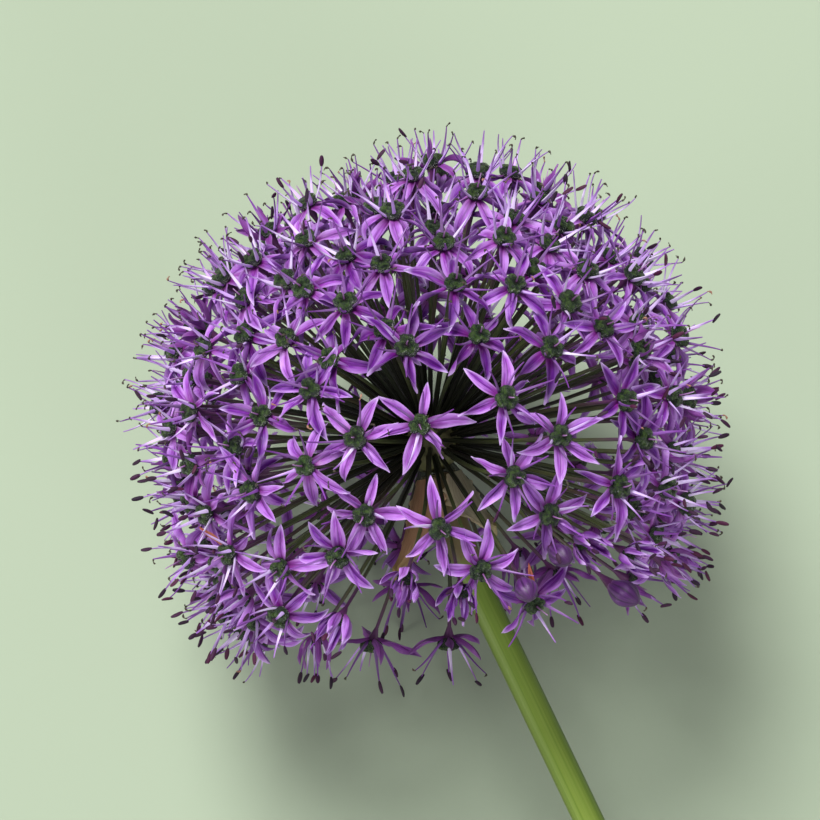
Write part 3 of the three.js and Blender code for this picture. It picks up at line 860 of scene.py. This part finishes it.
class Finish:
    """The nodes of one material."""

    def __init__(self, name):
        self.material = bpy.data.materials.new(name)
        self.material.use_nodes = True
        self.tree = self.material.node_tree
        self.tree.nodes.clear()

    def node(self, kind, settings, sockets, output=0):
        """A node of a kind. Its settings are set first, then the values or links of its sockets."""
        made = self.tree.nodes.new(kind)
        for name, value in settings.items():
            setattr(made, name, value)
        for name, value in sockets.items():
            if isinstance(value, Wire):
                self.tree.links.new(value.socket, made.inputs[name])
            else:
                made.inputs[name].default_value = value
        return Wire(self, made, output)

    def rise(self, value, low, high):
        """0 below low, 1 above high and smooth between them."""
        return self.node("ShaderNodeMapRange", {"interpolation_type": "SMOOTHSTEP"},
                         {"Value": value, "From Min": low, "From Max": high})

    def reached(self, number, first):
        """1 where a whole number is first or more, else 0."""
        return self.rise(number, first - 0.6, first - 0.4)

    def blend(self, share, below, above, mode="MIX"):
        """A colour between two others, or one laid on the other in a mode."""
        below, above = (shade if isinstance(shade, Wire) else colour(*shade) for shade in (below, above))
        return self.node("ShaderNodeMix", {"data_type": "RGBA", "blend_type": mode},
                         {0: share, 6: below, 7: above}, 2)

    def coats(self, ground, *coats):
        """Coats of colour laid over a ground in turn, each given as how thick it is and its colour.
        In front of them may stand a value that the thickness follows, and where it starts and ends."""
        for *rise, thickness, shade in coats:
            share = self.rise(*rise) * thickness if rise else thickness
            ground = self.blend(share, ground, shade)
        return ground

    def vector(self, x, y, z):
        return self.node("ShaderNodeCombineXYZ", {}, {"X": x, "Y": y, "Z": z})

    def noise(self, x, y, z, detail=2.0, roughness=0.5):
        return self.node("ShaderNodeTexNoise", {}, {"Vector": self.vector(x, y, z), "Scale": 1.0,
                                                    "Detail": detail, "Roughness": roughness})

    def bump(self, height, distance, strength=0.8):
        return self.node("ShaderNodeBump", {},
                         {"Height": height, "Distance": distance, "Strength": strength})

    def sheet(self):
        """Where a point lies in its tile of the colour sheet, across and along, and the tile's number."""
        place = self.node("ShaderNodeUVMap", {"uv_map": SHEET}, {})
        parts = self.node("ShaderNodeSeparateXYZ", {}, {"Vector": place})
        across = parts * TILES
        along = parts.output("Y") * TILES
        scale = 1 / (1 - 2 * TILE_MARGIN)
        inside = [(way.maths("FRACT") - TILE_MARGIN) * scale for way in (across, along)]
        number = across.maths("FLOOR") + along.maths("FLOOR") * TILES
        return inside[0], inside[1], number

    def chance(self, number, salt):
        """A number from 0 to 1 that belongs to a tile."""
        return self.node("ShaderNodeTexWhiteNoise", {"noise_dimensions": "3D"},
                         {"Vector": self.vector(number, salt, 0.5)})

    def surface(self, shade, roughness, normal=None, translucent=0.0, **constants):
        sockets = {"Base Color": shade, "Roughness": roughness}
        sockets.update({name.replace("_", " "): value for name, value in constants.items()})
        if normal:
            sockets["Normal"] = normal
        shader = self.node("ShaderNodeBsdfPrincipled", {}, sockets)
        if translucent:
            through = self.node("ShaderNodeBsdfTranslucent", {}, {"Color": shade})
            shader = self.node("ShaderNodeMixShader", {}, {0: translucent, 1: shader, 2: through})
        end = self.tree.nodes.new("ShaderNodeOutputMaterial")
        self.tree.links.new(shader.socket, end.inputs["Surface"])
        return self.material


def finish_on_sheet(name):
    """A new finish, and where a point lies in its tile of the colour sheet."""
    f = Finish(name)
    return f, *f.sheet()


def colour(red, green, blue):
    """A colour as it is seen, from 0 to 255, in the renderer's own measure."""
    def linear(value):
        value = value / 255
        return value / 12.92 if value <= 0.04045 else ((value + 0.055) / 1.055) ** 2.4
    return (linear(red), linear(green), linear(blue), 1.0)


def tepal_finish():
    """Satin lilac with a dark middle vein, fine streaks, paler margins and a nearly white tip. The
    upper half of the tiles is the underside, duller and with a stronger vein."""
    f, across, along, number = finish_on_sheet("lilac_tepal")
    under = f.reached(number, HALF_THE_TILES)
    own = number - under * HALF_THE_TILES
    tone = (own * (1 / TILES)).maths("FLOOR")
    deep = 1 - f.reached(tone, DEEP_AND_SHADE_TONE + 1)
    shrivelled = f.reached(tone, SHRIVELLED_AND_SHADE_TONE)
    withered = f.reached(own, WITHERED_TILE) * f.rise(along, 0.1, 0.35)
    streaks = f.noise(across * 14, along * 1.6, own * 3.7, 3.0, 0.6)
    clouds = f.noise(across * 2.5, along * 2.5, own * 1.3)
    lilac = f.coats(
        f.blend(f.chance(own, 1.0), (140, 52, 188), (176, 70, 208)),
        (tone, 1.4, 2.0, 0.4, (212, 144, 238)),
        (streaks, 0.44, 0.7, 0.62, (222, 164, 255)),
        (streaks, 0.48, 0.27, 0.66, (88, 8, 118)),
        (clouds, 0.5, 0.7, 0.55, (224, 156, 248)),
        (clouds, 0.48, 0.3, 0.55, (116, 14, 134)))
    # All tepals are multiplied a little darker, those of the deep tone much darker, which on set-back and
    # listed front florets is painted shade.
    lilac = f.blend(deep * 0.7 + 0.15, lilac, (178, 128, 190), "MULTIPLY")
    from_middle = abs(across - 0.5) * 2
    wander = f.noise(own * 5.1, along * 3, 0.3, 1.0) - 0.5
    vein = f.rise(abs(across - 0.5 + wander * 0.08) * 2, 0.2, 0.03) * f.rise(along, 0.98, 0.65)
    lilac = f.coats(
        lilac,
        (from_middle, 0.35, 1.0, 0.72 - deep * 0.34, (228, 178, 255)),
        (vein * (0.5 + 0.3 * under), (84, 20, 108)),
        (along, 0.42, 0.03, 0.82, (136, 24, 136)),
        (along + from_middle * 0.05, 0.8, 1.0, 0.8, (230, 204, 252)),
        (under * 0.25, (146, 100, 164)),
        # The dull purple of shrivelled tepals, which on the hanging florets is painted shade.
        (shrivelled * 0.7, f.blend(streaks, (94, 22, 108), (156, 70, 170))),
        (withered * 0.9, f.blend(streaks, (140, 62, 40), (224, 132, 72))))
    relief = streaks * 0.5 - vein * 0.6
    return f.surface(lilac, 0.36, f.bump(relief, 0.06 * MM), translucent=0.26, Sheen_Weight=0.05,
                     Specular_IOR_Level=0.28)


def filament_finish():
    """White flushed with lilac, and purple along its thin upper part. The upper half of the tiles is
    purple all along."""
    f, _, along, number = finish_on_sheet("filament")
    tint = f.chance(number, 1.0)
    pale = f.blend(tint, (240, 226, 255), (212, 166, 246))
    deep = f.blend(tint, (160, 90, 200), (100, 38, 128))
    shade = f.coats(
        f.blend(f.rise(along, 0.0, 0.14), deep, pale),
        (along, 0.45, 0.85, 0.85, deep),
        (f.reached(number, HALF_THE_TILES) * 0.85, f.blend(tint, (98, 30, 122), (148, 76, 184))))
    return f.surface(shade, 0.36, translucent=0.2, Specular_IOR_Level=0.4)


def anther_finish():
    """Dark purple when fresh, in the lower tiles, and dry and brown when spent, in the upper ones."""
    f, across, along, number = finish_on_sheet("anther")
    tint = f.chance(number, 1.0)
    grain = f.noise(across * 6, along * 8, number, 3.0)
    fresh = f.coats(
        f.blend(tint, (36, 18, 40), (66, 24, 60)),
        (f.rise(f.chance(number, 2.0), 0.84, 0.88), (72, 20, 54)),
        (abs(across - 0.5), 0.1, 0.0, 0.7, (22, 10, 24)))
    spent = f.coats(
        f.blend(f.rise(tint, 0.72, 0.95), (70, 62, 52), (176, 128, 106)),
        (grain, 0.45, 0.65, 0.6, (62, 48, 50)))
    shade = f.blend(f.reached(number, HALF_THE_TILES), fresh, spent)
    return f.surface(shade, 0.62, f.bump(grain, 0.08 * MM), Specular_IOR_Level=0.3)


def ovary_finish():
    """Dark green, waxy, with a fine pimpled skin. The lighter shoulders are a painted highlight, and the
    light pimple tops and dark pits between them are painted highlight and painted shade.
    """
    f, across, along, number = finish_on_sheet("ovary_green")
    pimples = f.node("ShaderNodeTexVoronoi", {}, {"Vector": f.vector(across * 8, along * 8, number)})
    patches = f.noise(across * 5, along * 5, number * 2.3, 4.0, 0.6)
    highlit_shoulders = f.rise(along, 0.45, 0.6) * f.rise(along, 0.92, 0.8)
    green = f.coats(
        f.blend(f.chance(number, 1.0), (27, 52, 32), (50, 84, 42)),
        (patches, 0.5, 0.68, 0.65, (104, 140, 62)),
        (patches, 0.5, 0.3, 0.6, (18, 38, 28)),
        # Painted highlight on the pimple tops and painted shade in the pits between them.
        (pimples, 0.4, 0.08, 0.75, (120, 158, 92)),
        (pimples, 0.4, 0.7, 0.75, (11, 26, 17)),
        # Painted highlight: lighter shoulders, where light falls on the top of the ovary.
        (highlit_shoulders * f.rise(patches, 0.4, 0.6) * 0.4, (112, 146, 66)),
        (along, 0.88, 1.0, 0.7, (50, 28, 46)),
        (along, 0.25, 0.0, 0.6, (70, 32, 72)))
    return f.surface(green, 0.2, f.bump(1 - pimples, 0.9 * MM, 0.9), Specular_IOR_Level=0.9)


def style_finish():
    f, _, along, number = finish_on_sheet("style")
    shade = f.coats(
        f.blend(along, (130, 70, 140), (206, 160, 214)),
        (f.chance(number, 1.0) * 0.6, (100, 50, 100)))
    return f.surface(shade, 0.45)


def bud_finish():
    """Greyish purple with a dark rib down each tepal and dark seams."""
    f, across, along, number = finish_on_sheet("bud")
    streaks = f.noise(across * 12, along * 2.5, number, 3.0)
    from_middle = abs(across - 0.5)
    shade = f.coats(
        f.blend(f.chance(number, 1.0), (94, 38, 116), (62, 22, 80)),
        (streaks, 0.45, 0.7, 0.5, (128, 76, 148)),
        (from_middle, 0.12, 0.02, 0.5, (50, 18, 66)),
        (from_middle, 0.36, 0.5, 0.75, (44, 14, 58)),
        (along, 0.55, 0.95, 0.6, (62, 20, 72)),
        (along, 0.16, 0.0, 0.5, (150, 92, 150)))
    return f.surface(shade, 0.42, f.bump(streaks, 0.08 * MM), translucent=0.12, Sheen_Weight=0.1)


def pedicel_finish():
    """Olive green, darker and browner on some, flushed with purple towards the floret, and nearly black
    near the receptacle, painted shade deep inside the head.
    """
    f, across, along, number = finish_on_sheet("pedicel")
    streaks = f.noise(across * 5, along * 14, number * 1.9, 3.0)
    green = f.coats(
        f.blend(f.chance(number, 1.0), (72, 82, 40), (30, 36, 18)),
        (f.chance(number, 2.0), 0.5, 0.9, 0.8, (54, 32, 30)),
        (streaks, 0.45, 0.7, 0.35, (96, 102, 54)),
        (along, 0.66, 0.98, 0.85, (88, 34, 90)),
        # Painted shade: nearly black from the receptacle outward, deep inside the head.
        (along, 0.76, 0.24, 0.92, (13, 13, 7)))
    return f.surface(green, 0.45, f.bump(streaks, 0.05 * MM, 0.6), Specular_IOR_Level=0.4)


def stalk_finish():
    """Smooth, waxy green, more olive in streaks, papery and brown where the sheath stood, with a pale and
    moist cut. Painted shade darkens the right flank, the left flank a little, and the top under the head."""
    f, across, along, _ = finish_on_sheet("stalk_green")
    long_streaks = f.noise(across * 22, along * 3, 0.0, 4.0, 0.55)
    clouds = f.noise(across * 2, along * 9, 2.0, 3.0)
    pith = f.blend(f.rise(along, 0.95, 0.935), (206, 214, 160), (150, 172, 92))
    green = f.coats(
        f.blend(clouds, (98, 126, 38), (126, 148, 56)),
        (long_streaks, 0.4, 0.7, 0.45, (138, 156, 72)),
        (long_streaks, 0.5, 0.3, 0.4, (80, 108, 36)),
        # Painted shadow of the head: the top of the stalk darker towards it. The papery brown near the
        # head is taken dark for the same shade.
        (along, 0.56, 0.2, 0.6, (70, 90, 28)),
        # Painted shade: the right flank much darker and the left flank a little darker, as light from the
        # upper left falls on the round stalk.
        (across, 0.5, 0.95, 0.6, (46, 66, 20)),
        (across, 0.3, 0.0, 0.35, (70, 84, 20)),
        (along + clouds * 0.04, 0.2, 0.165, 0.9, (100, 84, 62)),
        (f.rise(along, 0.905, 0.925), pith))
    return f.surface(green, 0.4, f.bump(long_streaks, 0.12 * MM, 0.5), Coat_Weight=0.05,
                     Coat_Roughness=0.35, Specular_IOR_Level=0.3)


def bract_finish():
    """Dry tan paper with fine brown veins along it, thin enough for light to show through."""
    f, across, along, number = finish_on_sheet("papery_bract")
    wander = f.noise(across * 2, along * 2, number) * 0.12
    veins = f.noise((across + wander) * 46, along * 1.5, number)
    patches = f.noise(across * 3, along * 4, number * 1.7, 4.0)
    brown = f.blend(patches, (150, 110, 80), (192, 152, 116))
    grey = f.blend(patches, (150, 144, 118), (188, 180, 150))
    shade = f.coats(
        f.blend(f.rise(number, 2.0, 6.0), brown, grey),
        (veins, 0.5, 0.7, 0.5, (104, 72, 48)),
        (abs(across - 0.5) * 2, 0.7, 1.0, 0.5, (206, 184, 148)),
        (along, 0.7, 1.0, 0.5, (168, 152, 88)))
    return f.surface(shade, 0.6, f.bump(veins, 0.1 * MM), translucent=0.35)


def receptacle_finish():
    f, across, along, _ = finish_on_sheet("receptacle")
    patches = f.noise(across * 8, along * 8, 0.0, 4.0)
    shade = f.blend(patches, (60, 52, 32), (96, 98, 52))
    return f.surface(shade, 0.6, f.bump(patches, 0.3 * MM))


def make_floor():
    """A plain pale floor, far larger than the object."""
    half = 3.0
    mesh = bpy.data.meshes.new("floor")
    corners = [(-half, -half, 0), (half, -half, 0), (half, half, 0), (-half, half, 0)]
    mesh.from_pydata(corners, [], [(0, 1, 2, 3)])
    f = Finish("pale_floor")
    mesh.materials.append(f.surface(colour(162, 176, 152), 0.85, Specular_IOR_Level=0.1))
    floor = put_in_scene("floor", mesh)


def matrix_facing(place, back, up):
    """Where a camera or light stands that looks away from back."""
    right = unit(np.cross(up, back))
    above = np.cross(back, right)
    rows = [[*row] for row in np.array([right, above, back, place]).T]
    return Matrix([*rows, [0, 0, 0, 1]])


def make_camera():
    """Looks straight at the front from far off, so that the head shows as the photo has it."""
    data = bpy.data.cameras.new("camera")
    data.lens = LENS
    data.sensor_width = SENSOR
    data.clip_start = 0.05
    data.clip_end = 20
    camera = put_in_scene("camera", data)
    distance = VIEW_WIDTH * LENS / SENSOR
    aim = HEAD_CENTRE + RIGHT * AIM_RIGHT + UPWARD * AIM_UP
    camera.matrix_world = matrix_facing(aim + FRONT * distance, FRONT, UPWARD)
    bpy.context.scene.camera = camera


def make_light(name, direction, distance, size, power, tint):
    """A round soft light that hangs in a direction from the head and shines on it."""
    data = bpy.data.lights.new(name, "AREA")
    data.shape = "DISK"
    data.size = size
    data.energy = power
    data.color = tint
    lamp = put_in_scene(name, data)
    back = unit(direction)
    lamp.matrix_world = matrix_facing(HEAD_CENTRE + back * distance, back, LAMP_UP)


def light_studio():
    make_light("key", seen(-0.25, 0.66, 0.71), 2.4, 1.2, 76, (1.0, 0.99, 1.0))
    make_light("side", seen(-0.95, -0.3, 0.35), 2.2, 0.8, 15, (1.0, 0.98, 0.94))
    make_light("fill", seen(0.4, -0.62, 0.68), 2.0, 1.2, 12, (0.97, 0.98, 1.0))
    world = bpy.data.worlds.new("studio")
    world.use_nodes = True
    background = world.node_tree.nodes["Background"]
    background.inputs["Color"].default_value = (0.9, 0.89, 0.93, 1)
    background.inputs["Strength"].default_value = 0.36
    bpy.context.scene.world = world
    bpy.context.scene.view_settings.view_transform = "Standard"


make_camera()
make_floor()
light_studio()

HEAD_FINISHES = {
    "tepals": tepal_finish(),
    "filaments": filament_finish(),
    "anthers": anther_finish(),
    "ovaries": ovary_finish(),
    "styles": style_finish(),
    "buds": bud_finish(),
    "pedicels": pedicel_finish(),
}
for piece in [*grow_head(HEAD_FINISHES), make_receptacle(receptacle_finish())]:
    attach(piece, "root")
    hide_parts("umbel")

stalk = make_stalk(stalk_finish())
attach(stalk, "root")
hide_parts("scape")

paper = bract_finish()
for number, bract in enumerate(BRACTS):
    piece = make_bract(bract, number, paper)
    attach(piece, "root")
    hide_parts(bract["name"])
